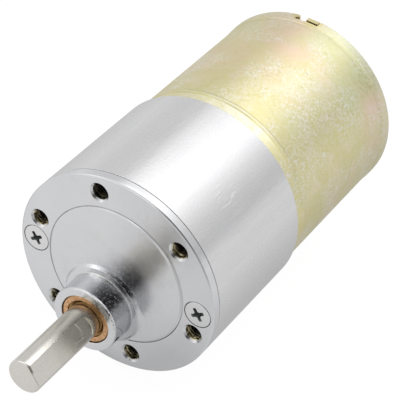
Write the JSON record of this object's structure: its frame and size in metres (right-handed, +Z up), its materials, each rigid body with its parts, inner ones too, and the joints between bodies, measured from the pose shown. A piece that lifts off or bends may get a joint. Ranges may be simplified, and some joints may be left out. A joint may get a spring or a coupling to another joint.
{
  "type": "geared dc motor",
  "caption": "Round geared dc motor: brushed motor can behind a spur gearbox, with an offset D-cut output shaft in a bronze bush and tapped fixing holes in the face.",
  "frame": {"origin": "centre of the gearbox's front face, on the motor's axis", "axes": "-Y along the output shaft, out of the front face; +Y towards the motor's rear end; the output shaft is offset towards -Z; +Z up"},
  "size_m": [0.037, 0.0852, 0.037],
  "materials": {
    "plated_steel": "bright nickel plate on zinc alloy, light orange peel",
    "cast_housing": "satin plated housing, fine orange peel",
    "zinc_yellow": "yellow chromated zinc plate, mottled and slightly iridescent",
    "shaft_steel": "ground steel with fine scratches",
    "bronze": "sintered bronze",
    "screw_zinc": "bright zinc plate",
    "gear_steel": "machined steel with an oil film",
    "gear_brass": "machined brass",
    "lamination": "stacked electrical steel",
    "enamelled_copper": "enamelled copper wire",
    "commutator_copper": "copper",
    "ferrite": "sintered ferrite",
    "carbon": "carbon brush",
    "phenolic": "brown phenolic board",
    "terminal_tin": "tinned brass",
    "nylon": "natural nylon"
  },
  "bodies": {
    "gearmotor_body": {"front_cover": "plated_steel", "cover_screw_1": "screw_zinc", "cover_screw_2": "screw_zinc", "output_bushing": "bronze", "output_rear_bushing": "bronze", "gearbox_housing": "cast_housing", "gear_pin_a": "gear_steel", "gear_pin_b": "gear_steel", "spacer_a_front": "nylon", "spacer_a_middle": "nylon", "spacer_a_rear": "nylon", "spacer_b_front": "nylon", "spacer_b_middle": "nylon", "spacer_b_rear": "nylon", "motor_screw_1": "screw_zinc", "motor_screw_2": "screw_zinc", "motor_can": "zinc_yellow", "motor_front_bearing": "bronze", "motor_rear_bearing": "bronze", "motor_end_plate": "zinc_yellow", "magnet_1": "ferrite", "magnet_2": "ferrite", "magnet_clip_1": "shaft_steel", "magnet_clip_2": "shaft_steel", "brush_holder": "phenolic", "brush_1": "carbon", "brush_2": "carbon", "brush_arm_1": "commutator_copper", "brush_arm_2": "commutator_copper", "terminal_1": "terminal_tin", "terminal_2": "terminal_tin"},
    "output": {"output_shaft": "shaft_steel", "output_gear": "gear_steel", "output_thrust_washer": "gear_steel", "output_circlip": "gear_steel"},
    "stage_1": {"stage_1_pinion": "gear_steel", "stage_1_wheel": "gear_brass"},
    "stage_2": {"stage_2_pinion": "gear_steel", "stage_2_wheel": "gear_steel"},
    "stage_3": {"stage_3_pinion": "gear_steel", "stage_3_wheel": "gear_steel"},
    "stage_4": {"stage_4_pinion": "gear_steel", "stage_4_wheel": "gear_steel"},
    "rotor": {"motor_shaft": "shaft_steel", "motor_pinion": "gear_brass", "armature_core": "lamination", "armature_winding": "enamelled_copper", "commutator": "commutator_copper", "rotor_front_washer": "nylon", "rotor_rear_washer": "nylon"}
  },
  "joints": [
    {"name": "output_spin", "type": "hinge", "parent": "gearmotor_body", "child": "output", "pos_m": [0, 0, -0.007], "axis": [0, 1, 0], "continuous": true},
    {"name": "stage_4_spin", "type": "hinge", "parent": "gearmotor_body", "child": "stage_4", "pos_m": [0.00837, 0, -0.002], "axis": [0, 1, 0], "continuous": true},
    {"name": "stage_3_spin", "type": "hinge", "parent": "gearmotor_body", "child": "stage_3", "pos_m": [0.00591, 0, 0.00624], "axis": [0, 1, 0], "continuous": true},
    {"name": "stage_2_spin", "type": "hinge", "parent": "gearmotor_body", "child": "stage_2", "pos_m": [0.00837, 0, -0.002], "axis": [0, 1, 0], "continuous": true},
    {"name": "stage_1_spin", "type": "hinge", "parent": "gearmotor_body", "child": "stage_1", "pos_m": [0.00591, 0, 0.00624], "axis": [0, 1, 0], "continuous": true},
    {"name": "rotor_spin", "type": "hinge", "parent": "gearmotor_body", "child": "rotor", "pos_m": [0, 0, 0], "axis": [0, 1, 0], "continuous": true}
  ],
  "couplings": [
    {"joint": "stage_4_spin", "follows": "output_spin", "ratio": -2.25},
    {"joint": "stage_3_spin", "follows": "output_spin", "ratio": 5.8125},
    {"joint": "stage_2_spin", "follows": "output_spin", "ratio": -15.016},
    {"joint": "stage_1_spin", "follows": "output_spin", "ratio": 38.79},
    {"joint": "rotor_spin", "follows": "output_spin", "ratio": -100.21}
  ]
}
